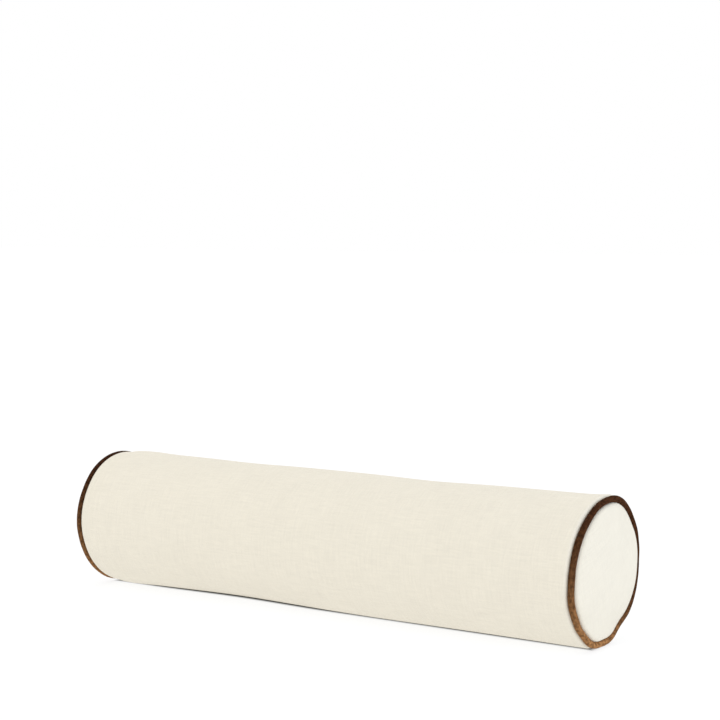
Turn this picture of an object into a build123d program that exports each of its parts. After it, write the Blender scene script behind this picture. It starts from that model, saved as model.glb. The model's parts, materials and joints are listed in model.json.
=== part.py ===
"""Bolster pillow: a long stuffed cylinder in a removable linen cover, with a velvet piping round each end.

Frame: +X along the pillow, +Y towards its back, where the zip is, and +Z up. The origin is on the floor,
under the middle. Everything is in millimetres.

Most parts share one cross-section: a circle that rests on the floor and is pressed a little flat there.
A part's inset says how far inside that outline it lies, and one inset holds all the way round.
"""

from build123d import *
import math
import os

# The pillow
PIPING_SPAN = 914.0  # between the centre lines of the two pipings
BODY_RADIUS = 111.0  # outside of the cover
SAG = 2.0  # how far the weight presses the underside flat
FOLD_RADIUS = 80.0  # from the round of the pillow to its flat underside
CROWN = 18.0  # how far each end bulges past its piping
RIM_RADIUS = 8.0  # where the bulge rounds over at its edge
AXIS_HEIGHT = BODY_RADIUS - SAG
HALF_SPAN = PIPING_SPAN / 2

# Cloth
LINEN = 1.0
VELVET = 0.75
TICKING = 0.6
GAP = 0.1  # between cloths that lie on each other
ALLOWANCE = 12.0  # seam allowance, turned inwards

# Piping: a cord in a folded strip, whose two edges are sewn into the end seam
PIPING_RADIUS = 4.8
PIPING_INSET = 6.0  # of the cord's centre line
FLANGE_INSET = 9.0  # outside of the strip's two edges, laid together
TURN_RADIUS = 2.0  # where the body cloth turns in at the seam
SHOULDER_RADIUS = PIPING_INSET - LINEN / 2  # where the body cloth rounds down to the seam
END_INSET = PIPING_INSET + PIPING_RADIUS + GAP  # outside of the end cloth
SEAM_DEPTH = HALF_SPAN - PIPING_RADIUS - LINEN / 2 - GAP  # where the body cloth turns back
ALLOWANCE_EDGE = SEAM_DEPTH - TURN_RADIUS - ALLOWANCE

# Zip, along the back
ZIP_ANGLE = 22.0  # above the horizontal
ZIP_LENGTH = 752.0  # of coil
ZIP_OPENING = 764.0  # between the ends of the gap in the cover
ZIP_GAP = 10.4  # between the folded edges of the cover
SEAM_GAP = 0.3  # between the same edges, beyond the zip
HEM_WIDTH = 12.0
HEM_LENGTH = 2 * (ALLOWANCE_EDGE - 3.0)
TAPE = 0.6
TAPE_WIDTH = 16.0  # from the middle of the zip
TAPE_LENGTH = 788.0
COIL_HEIGHT = 1.5
COIL_WIDTH = 2.3
POST_ROOM = 0.45  # each side of the middle, for the slider's post
HEM_DEPTH = LINEN + GAP  # outside of the turned-in hem
TAPE_DEPTH = HEM_DEPTH + LINEN + GAP  # outside of the tape
COIL_DEPTH = TAPE_DEPTH - GAP  # underside of the coil
COIL_TOP = COIL_DEPTH - COIL_HEIGHT
STOP_LENGTH = 2.6

# Slider and pull tab
SLIDER_LENGTH = 11.5
SLIDER_NOSE = 9.0
SLIDER_TAIL = 7.8
PLATE = 0.9
PLATE_RUN = 0.15  # running clearance between the plates and what they slide on
LOWER_PLATE_TOP = TAPE_DEPTH + TAPE + 0.2
RAIL_INNER = 3.3  # half width of the channel for the coil
RAIL_DEPTH = 1.95
UPPER_PLATE_TOP = PLATE - COIL_TOP + PLATE_RUN  # above the cover's outside
POST_LENGTH = 3.0
BRIDGE_LENGTH = 7.2
BRIDGE_WIDTH = 1.8
BRIDGE_BAR = 1.0
BRIDGE_ROOM = 1.6  # height of the opening under the bridge
TAB_BAR_RADIUS = 0.62
TAB_WIDTH = 5.4
TAB_THICKNESS = 1.1
TAB_LENGTH = 25.0
TAB_EYE = (0.8, 4.5)  # near and far end of the eye, from the hinge line
TAB_EYE_WIDTH = 2.6
HINGE_HEIGHT = UPPER_PLATE_TOP + BRIDGE_ROOM / 2
SLIDER_REST = ZIP_LENGTH / 2 - SLIDER_LENGTH / 2
SLIDER_TRAVEL = ZIP_LENGTH - SLIDER_LENGTH

# Insert: a foam core, wrapped in wadding, in a ticking case
INSERT_INSET = 1.3
INSERT_ZIP_DEPTH = 4.3  # the zip presses a flat this deep into the insert
NECK_GAP = 1.2  # between the end cloth and the insert's neck, which goes inside the seam allowances
NECK_START = ALLOWANCE_EDGE - 0.5
SHOULDER_RUN = 18.0  # the insert's long part rounds down to its neck
SHOULDER_DROP = 11.4
CORE_INSET = 20.0
CORE_HALF = 448.0

# Threads and label
THREAD_RADIUS = 0.3
INSERT_THREAD_PLACE = 3.0  # past the start of the neck
CLOSING_PLACE = 20.5  # from the zip's middle
CLOSING_LENGTH = 300.0
TOPSTITCH_OFFSET = 3.0  # from the folded edge
TOPSTITCH_HEIGHT = 0.4
LABEL = 0.3
LABEL_WIDTH = 28.0
LABEL_LENGTH = 44.0

# How far a cutting block reaches past what it cuts
BEYOND = 40.0


def outline(inset):
    """The pillow's cross-section at that inset, as a closed wire that starts at the top."""
    turn = math.degrees(math.acos((AXIS_HEIGHT - FOLD_RADIUS) / (BODY_RADIUS - FOLD_RADIUS)))
    side = (BODY_RADIUS - FOLD_RADIUS) * math.sin(math.radians(turn))
    around = [
        CenterArc((0, AXIS_HEIGHT), BODY_RADIUS - inset, 90, turn - 180),
        CenterArc((side, FOLD_RADIUS), FOLD_RADIUS - inset, turn - 90, -turn),
        Line((side, inset), (-side, inset)),
        CenterArc((-side, FOLD_RADIUS), FOLD_RADIUS - inset, -90, -turn),
        CenterArc((0, AXIS_HEIGHT), BODY_RADIUS - inset, -90 - turn, turn - 180),
    ]
    return Wire([(Plane.YZ * piece).edge() for piece in around])


def prism(inset, start, end):
    """The cross-section as a solid bar between two places along X."""
    return extrude(Pos(start, 0, 0) * make_face(outline(inset)), amount=end - start, dir=(1, 0, 0))


def at_top(x, inset):
    """A point of the XZ plane at the top of the pillow, for profiles that are swept round it."""
    return (x, AXIS_HEIGHT + BODY_RADIUS - inset)


def sweep_round(profile):
    """Carries a profile in the XZ plane round the pillow's outline."""
    return sweep(Plane.XZ * profile, path=outline(0))


def turned(profile):
    """A solid of revolution about the pillow's axis, from a profile whose Y is the radius."""
    return Pos(0, 0, AXIS_HEIGHT) * revolve(Plane.XZ * profile, axis=Axis.X)


def dome(depth, start):
    """A round bar along X, from start, whose right end is the bulge of the pillow's end, that far inside its skin."""
    rim = BODY_RADIUS - END_INSET - RIM_RADIUS  # distance of the rim's arc from the axis
    top_radius = (rim**2 + CROWN**2 - RIM_RADIUS**2) / (2 * (CROWN - RIM_RADIUS))
    top_centre = HALF_SPAN + CROWN - top_radius
    lean = math.degrees(math.atan2(rim, top_radius - CROWN))
    radius = rim + RIM_RADIUS - depth
    edge = Polyline(
        (HALF_SPAN, radius), (start, radius), (start, 0), (top_centre + top_radius - depth, 0)
    )
    rim_arc = CenterArc((HALF_SPAN, rim), RIM_RADIUS - depth, 90, lean - 90)
    top_arc = CenterArc((top_centre, 0), top_radius - depth, lean, -lean)
    return turned(make_face(edge + rim_arc + top_arc))


def end_bulge(depth, start):
    """The same bar, pressed flat underneath like the rest of the pillow."""
    return prism(END_INSET + depth, start, HALF_SPAN + CROWN + BEYOND) & dome(depth, start)


def mirrored(part):
    """The same part at the other end of the pillow."""
    return mirror(part, about=Plane.YZ)


def sector(inner, outer, start, end, length):
    """A curved strip along X, between two depths below the cover's outside.

    It goes round the pillow between two distances from the zip's middle, measured on the cover's outside.
    """
    ring = Circle(BODY_RADIUS - inner) - Circle(BODY_RADIUS - outer)
    far = 2 * BODY_RADIUS
    angles = [math.radians(ZIP_ANGLE) + distance / BODY_RADIUS for distance in (start, end)]
    corners = [(far * math.cos(angle), far * math.sin(angle)) for angle in angles]
    wedge = make_face(Polyline((0, 0), *corners, close=True))
    face = Pos(0, AXIS_HEIGHT) * (ring & wedge)
    return extrude(Pos(-length / 2, 0, 0) * (Plane.YZ * face), amount=length, dir=(1, 0, 0))


def zip_frame():
    """The plane at the zip's middle on the cover's outside: local X along the pillow and local Z outwards."""
    angle = math.radians(ZIP_ANGLE)
    outward = (0, math.cos(angle), math.sin(angle))
    place = (0, BODY_RADIUS * outward[1], AXIS_HEIGHT + BODY_RADIUS * outward[2])
    return Plane(origin=place, x_dir=(1, 0, 0), z_dir=outward)


def zip_box(x_from, x_to, y_from, y_to, low, high):
    """A block in the zip's frame."""
    size = Box(x_to - x_from, y_to - y_from, high - low)
    return Pos((x_from + x_to) / 2, (y_from + y_to) / 2, (low + high) / 2) * size


# Cover


def cover_body_panel():
    """One rectangle of linen rolled into a tube. Its ends turn in at the end seams, its long edges at the zip."""
    shoulder = SEAM_DEPTH - SHOULDER_RADIUS
    turn = SEAM_DEPTH - TURN_RADIUS
    half = (
        Line(at_top(0, LINEN / 2), at_top(shoulder, LINEN / 2))
        + CenterArc(at_top(shoulder, PIPING_INSET), SHOULDER_RADIUS, 90, -90)
        + CenterArc(at_top(turn, PIPING_INSET), TURN_RADIUS, 0, -90)
        + Line(at_top(turn, PIPING_INSET + TURN_RADIUS), at_top(ALLOWANCE_EDGE, PIPING_INSET + TURN_RADIUS))
    )
    path = Wire((half + mirror(half, about=Plane.YZ)).edges())
    panel = sweep_round(make_face(path.offset_2d(LINEN / 2)))
    reach = PIPING_INSET + TURN_RADIUS + LINEN
    panel -= sector(-LINEN, LINEN + GAP, -ZIP_GAP / 2, ZIP_GAP / 2, ZIP_OPENING)
    panel -= sector(-LINEN, reach, -SEAM_GAP / 2, SEAM_GAP / 2, PIPING_SPAN)
    for side in (-1, 1):
        panel += hem(side, ZIP_GAP / 2, -ZIP_OPENING / 2, ZIP_OPENING / 2)
        for end in (-1, 1):
            first, last = sorted((end * ZIP_OPENING / 2, end * HEM_LENGTH / 2))
            panel += hem(side, SEAM_GAP / 2, first, last)
    return panel


def hem(side, start, x_from, x_to):
    """The turned-in edge of the cover beside the zip, joined to the panel by its fold."""
    length = x_to - x_from
    layer = sector(HEM_DEPTH, HEM_DEPTH + LINEN, side * start, side * (start + HEM_WIDTH), length)
    fold = sector(LINEN / 2, HEM_DEPTH + LINEN / 2, side * start, side * (start + LINEN / 2), length)
    return Pos((x_from + x_to) / 2, 0, 0) * (layer + fold)


def cover_end_panel():
    """The disc of linen at an end: crowned over the stuffing, with its edge turned in along the seam."""
    return end_bulge(0, ALLOWANCE_EDGE) - end_bulge(LINEN, ALLOWANCE_EDGE - BEYOND)


def piping_sleeve():
    """A strip of velvet folded round the cord, with both edges together as the flange in the seam."""
    centre = at_top(HALF_SPAN, PIPING_INSET)
    middle = at_top((ALLOWANCE_EDGE + HALF_SPAN) / 2, FLANGE_INSET + VELVET)
    ring = Pos(*centre) * Circle(PIPING_RADIUS)
    flange = Pos(*middle) * Rectangle(HALF_SPAN - ALLOWANCE_EDGE, 2 * VELVET)
    hole = Pos(*centre) * Circle(PIPING_RADIUS - VELVET)
    return sweep_round(ring + flange - hole)


def piping_cord():
    """The cotton cord that fills the piping."""
    centre = at_top(HALF_SPAN, PIPING_INSET)
    return sweep_round(Pos(*centre) * Circle(PIPING_RADIUS - VELVET - GAP / 2))


def end_seam_thread():
    """The row of thread that shows inside the cover, where the end seam is sewn through all its layers."""
    centre = at_top(SEAM_DEPTH - TURN_RADIUS, END_INSET + LINEN + THREAD_RADIUS + GAP)
    return sweep_round(Pos(*centre) * Circle(THREAD_RADIUS))


def care_label():
    """A blank woven label inside the cover: it stands up from the left end's seam, against the end cloth."""
    start = HALF_SPAN - BEYOND
    depth = LINEN + (NECK_GAP - LABEL) / 2
    skin = dome(depth, start) - dome(depth + LABEL, start - BEYOND)
    foot = END_INSET + LINEN + NECK_GAP
    patch = Pos(HALF_SPAN + CROWN / 2, 0, foot + LABEL_LENGTH / 2) * Box(CROWN, LABEL_WIDTH, LABEL_LENGTH)
    return mirrored(skin & patch)


# Zip


def zip_tape(side):
    """One of the two woven tapes under the cover's folded edges."""
    return sector(TAPE_DEPTH, TAPE_DEPTH + TAPE, side * POST_ROOM, side * TAPE_WIDTH, TAPE_LENGTH)


def zip_coil(side):
    """The outer shape of one row of coil, on the edge of its tape."""
    edges = sorted((-side * POST_ROOM, -side * (POST_ROOM + COIL_WIDTH)))
    bar = zip_box(-ZIP_LENGTH / 2, ZIP_LENGTH / 2, *edges, -COIL_DEPTH, -COIL_TOP)
    return zip_frame() * fillet(bar.edges().filter_by(Axis.X).sort_by(Axis.Z)[-2:], COIL_HEIGHT / 3)


def zip_top_stops():
    """Two small clamps, one on each tape, where the closed slider ends its travel."""
    start = ZIP_LENGTH / 2 + GAP
    stops = [
        zip_box(start, start + STOP_LENGTH, *sorted((side * POST_ROOM, side * 3.0)), -COIL_DEPTH, -COIL_TOP)
        for side in (-1, 1)
    ]
    return Compound([zip_frame() * fillet(stop.edges().filter_by(Axis.X), COIL_HEIGHT / 4) for stop in stops])


def zip_bottom_stop():
    """One clamp across both tapes, at the open end."""
    start = -ZIP_LENGTH / 2 - GAP
    stop = zip_box(start - STOP_LENGTH, start, -3.0, 3.0, -COIL_DEPTH, -COIL_TOP)
    return zip_frame() * fillet(stop.edges().filter_by(Axis.X), COIL_HEIGHT / 4)


def zip_slider():
    """Two plates joined by a post at the nose, with rails that hold the coils and a bridge for the tab."""
    half = SLIDER_LENGTH / 2
    shape = make_face(
        Polyline(
            (-half, -SLIDER_TAIL / 2),
            (half - POST_LENGTH, -SLIDER_NOSE / 2),
            (half, -SLIDER_NOSE / 2),
            (half, SLIDER_NOSE / 2),
            (half - POST_LENGTH, SLIDER_NOSE / 2),
            (-half, SLIDER_TAIL / 2),
            close=True,
        )
    )
    shape = fillet(shape.vertices(), 1.0)
    under_plate = UPPER_PLATE_TOP - PLATE
    upper = Pos(0, 0, -RAIL_DEPTH) * extrude(shape, amount=RAIL_DEPTH + UPPER_PLATE_TOP)
    upper -= zip_box(-half - 1, half + 1, -RAIL_INNER, RAIL_INNER, -RAIL_DEPTH - 1, under_plate)
    upper = fillet(upper.faces().sort_by(Axis.Z)[-1].edges(), PLATE / 3)
    lower = Pos(0, 0, -LOWER_PLATE_TOP - PLATE) * extrude(shape, amount=PLATE)
    post = zip_box(half - POST_LENGTH, half - 0.3, -POST_ROOM + GAP, POST_ROOM - GAP, -LOWER_PLATE_TOP, under_plate)
    top = UPPER_PLATE_TOP + BRIDGE_ROOM + BRIDGE_BAR
    edges = (-BRIDGE_WIDTH / 2, BRIDGE_WIDTH / 2)
    bridge = zip_box(-BRIDGE_LENGTH / 2, BRIDGE_LENGTH / 2, *edges, UPPER_PLATE_TOP - PLATE / 3, top)
    bridge = fillet(bridge.edges().filter_by(Axis.Y).sort_by(Axis.Z)[-2:], 1.0)
    opening = BRIDGE_LENGTH / 2 - BRIDGE_BAR
    bridge -= zip_box(-opening, opening, *edges, UPPER_PLATE_TOP, UPPER_PLATE_TOP + BRIDGE_ROOM)
    return zip_frame() * (Pos(SLIDER_REST, 0, 0) * (upper + lower + post + bridge))


def zip_pull_tab():
    """The tab, flat along the zip, with a round bar that turns under the slider's bridge."""
    near, far = TAB_EYE
    plate = Pos(-TAB_LENGTH / 2, 0, 0) * Box(TAB_LENGTH, TAB_WIDTH, TAB_THICKNESS)
    corners = plate.edges().filter_by(Axis.Z).sort_by(Axis.X)
    plate = fillet(corners[:2], TAB_WIDTH / 2 - 0.2)
    plate -= Pos(-(near + far) / 2, 0, 0) * Box(far - near, TAB_EYE_WIDTH, 2 * TAB_THICKNESS)
    plate -= Pos(-near / 2, 0, 0) * Box(near, 2 * TAB_WIDTH, 2 * TAB_THICKNESS)
    arms = [
        Pos(-near / 2, side * (TAB_EYE_WIDTH + TAB_WIDTH) / 4, 0)
        * Box(near, (TAB_WIDTH - TAB_EYE_WIDTH) / 2, TAB_THICKNESS)
        for side in (-1, 1)
    ]
    bar = Rot(90, 0, 0) * Cylinder(TAB_BAR_RADIUS, TAB_WIDTH)
    plate -= Pos(-TAB_LENGTH + 4.5, 0, 0) * Cylinder(1.1, 2 * TAB_THICKNESS)
    tab = plate + arms[0] + arms[1] + bar
    return zip_frame() * (Pos(SLIDER_REST, 0, HINGE_HEIGHT) * tab)


def zip_topstitch():
    """The thread that sews the cover to the tapes: one row round the zip, on the outside of the cover."""
    half = ZIP_OPENING / 2 + TOPSTITCH_OFFSET
    side = ZIP_GAP / 2 + TOPSTITCH_OFFSET
    high = GAP + TOPSTITCH_HEIGHT
    loop = sector(-high, -GAP, -side, side, 2 * half)
    inside = sector(
        -high - GAP,
        0,
        -side + 2 * THREAD_RADIUS,
        side - 2 * THREAD_RADIUS,
        2 * half - 4 * THREAD_RADIUS,
    )
    return loop - inside


def back_seam_thread():
    """The row of thread that closes the cover between the zip's right end and the end seam."""
    length = (HEM_LENGTH - TAPE_LENGTH) / 2 - 2 * THREAD_RADIUS
    depth = TAPE_DEPTH
    thread = sector(depth, depth + 2 * THREAD_RADIUS, -THREAD_RADIUS, THREAD_RADIUS, length)
    return Pos((HEM_LENGTH + TAPE_LENGTH) / 4, 0, 0) * thread


# Insert


def insert_body(depth):
    """The insert's long part, that far inside its case, with the flat that the zip presses into it."""
    inset = INSERT_INSET + depth
    radius = BODY_RADIUS - inset
    end = NECK_START - depth
    start = end - SHOULDER_RUN
    edge = Polyline((start, radius), (0, radius), (0, 0), (end, 0), (end, radius - SHOULDER_DROP))
    shoulder = EllipticalCenterArc(
        (start, radius - SHOULDER_DROP), SHOULDER_RUN, SHOULDER_DROP, start_angle=0, arc_size=90
    )
    half = turned(make_face(edge + shoulder))
    whole = half + mirrored(half)
    body = prism(inset, -HALF_SPAN, HALF_SPAN) & whole
    far = 4 * BODY_RADIUS
    return body - zip_frame() * zip_box(-far, far, -far, far, -INSERT_ZIP_DEPTH - depth, far)


def insert_neck(depth, start):
    """The insert's right end, that far inside its case: it fills the end of the cover inside the seam."""
    return end_bulge(LINEN + NECK_GAP + depth, start)


def insert_case_body():
    """The ticking tube round the wadding, open at both ends where the end discs are sewn in."""
    inner = insert_body(TICKING)
    for neck in (insert_neck(TICKING, 0), mirrored(insert_neck(TICKING, 0))):
        inner += neck
    return insert_body(0) - inner


def insert_case_end():
    """The ticking disc at an end, crowned, with its edge along the neck."""
    return insert_neck(0, NECK_START + GAP) - insert_neck(TICKING, NECK_START - BEYOND)


def insert_end_thread():
    """The row of thread round an end of the insert, where its disc is sewn to its tube."""
    centre = at_top(NECK_START + INSERT_THREAD_PLACE, END_INSET + LINEN + NECK_GAP / 2)
    return sweep_round(Pos(*centre) * Circle(THREAD_RADIUS))


def insert_closing_thread():
    """The row of hand stitches that closes the insert's tube, on the flat that the zip presses into it."""
    low = GAP - INSERT_ZIP_DEPTH
    edges = (CLOSING_PLACE - THREAD_RADIUS, CLOSING_PLACE + THREAD_RADIUS)
    return zip_frame() * zip_box(-CLOSING_LENGTH / 2, CLOSING_LENGTH / 2, *edges, low, low + 2 * THREAD_RADIUS)


def stuffing():
    """All the room inside the case."""
    depth = TICKING + GAP
    room = insert_body(depth)
    for neck in (insert_neck(depth, 0), mirrored(insert_neck(depth, 0))):
        room += neck
    return room


def slab(start, end):
    """Everything between two places along X."""
    side = 4 * BODY_RADIUS
    return Pos((start + end) / 2, 0, AXIS_HEIGHT) * Box(end - start, side, side)


def foam_core():
    """The round bar of foam that keeps the pillow straight."""
    return prism(CORE_INSET + GAP, -CORE_HALF + GAP, CORE_HALF - GAP)


def wadding_wrap():
    """The sheet of wadding wrapped round the core."""
    return (stuffing() & slab(-CORE_HALF, CORE_HALF)) - prism(CORE_INSET, -HALF_SPAN, HALF_SPAN)


def wadding_end():
    """The pad of wadding over an end of the core, which gives the end its crown."""
    return stuffing() & slab(CORE_HALF + GAP, HALF_SPAN + CROWN)


def write(name, part):
    """Writes a node's solids as one STEP file."""
    solids = part.solids()
    shape = solids[0] if len(solids) == 1 else Compound(solids)
    export_step(shape, f"parts/{name}.step")
    print(name, len(solids), round(sum(solid.volume for solid in solids), 1))


def write_pair(name, right):
    """Writes a part that both ends have."""
    write(f"{name}_right", right)
    write(f"{name}_left", mirrored(right))


def main():
    os.makedirs("parts", exist_ok=True)
    write("cover_body_panel", cover_body_panel())
    write_pair("cover_end_panel", cover_end_panel())
    write_pair("piping_sleeve", piping_sleeve())
    write_pair("piping_cord", piping_cord())
    write_pair("end_seam_thread", end_seam_thread())
    write("care_label", care_label())
    write("zip_tape_upper", zip_tape(1))
    write("zip_tape_lower", zip_tape(-1))
    write("zip_coil_upper", zip_coil(1))
    write("zip_coil_lower", zip_coil(-1))
    write("zip_top_stops", zip_top_stops())
    write("zip_bottom_stop", zip_bottom_stop())
    write("zip_slider", zip_slider())
    write("zip_pull_tab", zip_pull_tab())
    write("zip_topstitch", zip_topstitch())
    write_pair("back_seam_thread", back_seam_thread())
    write("insert_case_body", insert_case_body())
    write_pair("insert_case_end", insert_case_end())
    write_pair("insert_end_thread", insert_end_thread())
    write("insert_closing_thread", insert_closing_thread())
    write("wadding_wrap", wadding_wrap())
    write_pair("wadding_end", wadding_end())
    write("foam_core", foam_core())


main()
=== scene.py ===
"""Bolster pillow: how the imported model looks.

Each soft part of the frame is replaced here by a mesh of its cloth, cord, stitches or stuffing.
Everything is in metres, in the row frame: +X along the pillow, +Y towards its back, +Z up, floor at 0.
"""

import bpy
import json
import math
import numpy as np
from mathutils import Matrix, Vector


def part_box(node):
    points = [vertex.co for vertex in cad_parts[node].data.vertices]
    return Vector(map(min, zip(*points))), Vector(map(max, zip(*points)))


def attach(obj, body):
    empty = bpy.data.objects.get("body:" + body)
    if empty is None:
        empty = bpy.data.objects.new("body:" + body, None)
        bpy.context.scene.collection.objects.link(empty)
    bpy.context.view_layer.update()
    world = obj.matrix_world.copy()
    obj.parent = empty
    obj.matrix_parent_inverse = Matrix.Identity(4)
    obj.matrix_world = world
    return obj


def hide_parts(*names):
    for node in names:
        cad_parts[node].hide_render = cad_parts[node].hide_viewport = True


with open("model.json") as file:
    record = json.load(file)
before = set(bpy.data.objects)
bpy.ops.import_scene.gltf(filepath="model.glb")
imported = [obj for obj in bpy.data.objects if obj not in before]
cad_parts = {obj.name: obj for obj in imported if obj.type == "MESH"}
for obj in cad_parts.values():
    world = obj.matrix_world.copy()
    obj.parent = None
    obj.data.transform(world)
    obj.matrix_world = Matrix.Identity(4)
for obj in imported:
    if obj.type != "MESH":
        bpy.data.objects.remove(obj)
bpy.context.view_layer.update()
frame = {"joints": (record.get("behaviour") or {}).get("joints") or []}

# Sizes that the frame gives
BODY_LOW, BODY_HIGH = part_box("cover_body_panel")
CORD_LOW, CORD_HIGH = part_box("piping_cord_right")
END_LOW, END_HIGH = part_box("cover_end_panel_right")
HINGE = next(joint for joint in frame["joints"] if joint["name"] == "pull_tab_hinge")
RADIUS = (BODY_HIGH.y - BODY_LOW.y) / 2
AXIS_HEIGHT = BODY_HIGH.z - RADIUS
PIPING_X = (CORD_LOW.x + CORD_HIGH.x) / 2
CORD_RADIUS = (CORD_HIGH.x - CORD_LOW.x) / 2
PIPING_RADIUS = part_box("piping_sleeve_right")[1].x - PIPING_X
PIPING_INSET = BODY_HIGH.z - CORD_HIGH.z + CORD_RADIUS
END_INSET = BODY_HIGH.z - END_HIGH.z
END_REACH = END_HIGH.x - PIPING_X
ALLOWANCE_EDGE = END_LOW.x
ZIP_ANGLE = math.atan2(HINGE["axis"][1], -HINGE["axis"][2])
ZIP_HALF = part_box("zip_coil_upper")[1].x
TAPE_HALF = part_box("zip_tape_upper")[1].x
STITCHED_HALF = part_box("zip_topstitch")[1].x
CORE_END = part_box("foam_core")[1].x

# Sizes of the cloth work, as in the frame's solids
LINEN = 0.0010  # thickness
VELVET = 0.00075
TICKING = 0.0006
TAPE = 0.0006
FOLD_RADIUS = 0.080  # of the outline beside the flat underside
SHOULDER_RIGHT = 0.0045  # length along x over which the panel turns in to its seam
SHOULDER_LEFT = 0.0085
TURN_RADIUS = 0.002  # of the panel's turn into its allowance
ZIP_GAP = 0.0052  # from the zip's middle to the folded edge
SEAM_GAP = 0.00015  # the same where the back is sewn shut
OPENING_HALF = STITCHED_HALF - 0.003
OPENING_END = 0.002  # half the length over which the opening closes
HEM_WIDTH = 0.012
HEM_COLUMNS = 8
TAPE_DEPTH = 0.0022
ZIP_FLAT = 0.0043  # how deep the zip presses into the insert
TOPSTITCH_OFFSET = ZIP_GAP + 0.003
CORE_INSET = 0.0201
PLAY = 0.0004  # between neighbours that would rub


# Cross-section

TURN = math.acos((AXIS_HEIGHT - FOLD_RADIUS) / (RADIUS - FOLD_RADIUS))
SIDE = (RADIUS - FOLD_RADIUS) * math.sin(TURN)
BOTTOM = 1.5 * math.pi
ARC_ANGLES = np.array([ZIP_ANGLE, BOTTOM - TURN, BOTTOM, BOTTOM, BOTTOM + TURN])
ARC_RADII = np.array([RADIUS, FOLD_RADIUS, FOLD_RADIUS, FOLD_RADIUS, RADIUS])
ARC_LENGTHS = np.array([
    RADIUS * (BOTTOM - TURN - ZIP_ANGLE),
    FOLD_RADIUS * TURN,
    2 * SIDE,
    FOLD_RADIUS * TURN,
    RADIUS * (math.pi / 2 - TURN + ZIP_ANGLE),
])
ARC_STARTS = np.concatenate([[0], np.cumsum(ARC_LENGTHS)[:-1]])
PERIMETER = ARC_LENGTHS.sum()
FLAT = 2  # the third piece of the outline is the flat underside


def section(distance):
    """Points (y, z) of the cover's outline and their outward normals, by distance round it from the zip's middle."""
    distance = np.mod(distance, PERIMETER)
    piece = np.searchsorted(ARC_STARTS, distance, side="right") - 1
    along = distance - ARC_STARTS[piece]
    flat = piece == FLAT
    angle = ARC_ANGLES[piece] + np.where(flat, 0, along / ARC_RADII[piece])
    normal = np.stack([np.cos(angle), np.sin(angle)], -1)
    centre_y = np.array([0, -SIDE, -SIDE, SIDE, 0])[piece] + np.where(flat, along, 0)
    centre_z = np.array([AXIS_HEIGHT, FOLD_RADIUS, FOLD_RADIUS, FOLD_RADIUS, AXIS_HEIGHT])[piece]
    return np.stack([centre_y, centre_z], -1) + ARC_RADII[piece][..., None] * normal, normal


def place(x, inset, distance):
    """Points of the pillow, from arrays of x, depth below the cover's outside, and distance round."""
    x, inset, distance = np.broadcast_arrays(x, inset, distance)
    point, normal = section(distance)
    yz = point - inset[..., None] * normal
    return np.concatenate([x[..., None], yz], -1)


def outward_at(distance):
    """Outward directions (x, y, z) by distance round the pillow."""
    normal = section(distance)[1]
    return np.concatenate([np.zeros_like(normal[..., :1]), normal], -1)


def around(columns, more=0):
    """Evenly spaced distances round the pillow, and more of them beyond one turn."""
    return PERIMETER * np.arange(columns + more) / columns


def travelled(points):
    """Each point's distance along a line of points."""
    return np.concatenate([[0], np.cumsum(np.linalg.norm(np.diff(points, axis=0), axis=-1))])


def unit(vectors):
    """The same directions with length 1."""
    return vectors / np.maximum(np.linalg.norm(vectors, axis=-1, keepdims=True), 1e-12)


def joined(*parts):
    """One line from several parts, each of them a few arrays or single numbers that belong together."""
    return [np.concatenate(items) for items in zip(*(np.broadcast_arrays(*part) for part in parts))]


def laid_flat(across, along):
    """Places on flat cloth, from distances across it, by column, and along it, by row."""
    return np.stack(np.broadcast_arrays(across, along[:, None]), -1)


# Mesh making


def link(name, data):
    """An object of the scene from a mesh, lamp or lens."""
    piece = bpy.data.objects.new(name, data)
    bpy.context.scene.collection.objects.link(piece)
    return piece


def build(name, points, faces, loops_uv=None):
    """A smooth-shaded mesh object. Faces may be lists of vertex numbers, and loops_uv has one place per corner."""
    mesh = bpy.data.meshes.new(name)
    mesh.from_pydata(points.tolist(), [], faces)
    mesh.polygons.foreach_set("use_smooth", np.ones(len(mesh.polygons), bool))
    if loops_uv is not None:
        layer = mesh.uv_layers.new(name="cloth")
        layer.data.foreach_set("uv", np.asarray(loops_uv, np.float32).ravel())
    mesh.update()
    return link(name, mesh)


def vertices(piece):
    """A piece's points."""
    points = np.empty(len(piece.data.vertices) * 3)
    piece.data.vertices.foreach_get("co", points)
    return points.reshape(-1, 3)


def grid_faces(rows, columns, closed):
    """Corners (row, column) of each quad of a grid, four per face. Columns of a closed grid run on to the first."""
    row, column = np.meshgrid(np.arange(rows - 1), np.arange(columns - (not closed)), indexing="ij")
    row, column = row.ravel(), column.ravel()
    return np.stack([
        np.stack([row, column], -1),
        np.stack([row, column + 1], -1),
        np.stack([row + 1, column + 1], -1),
        np.stack([row + 1, column], -1),
    ], 1)


def grid_normals(grid, closed):
    """Unit normals of a grid of points, across its rows and columns."""
    along = np.gradient(grid, axis=0)
    across = np.roll(grid, -1, 1) - np.roll(grid, 1, 1) if closed else np.gradient(grid, axis=1)
    return unit(np.cross(across, along))


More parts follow.
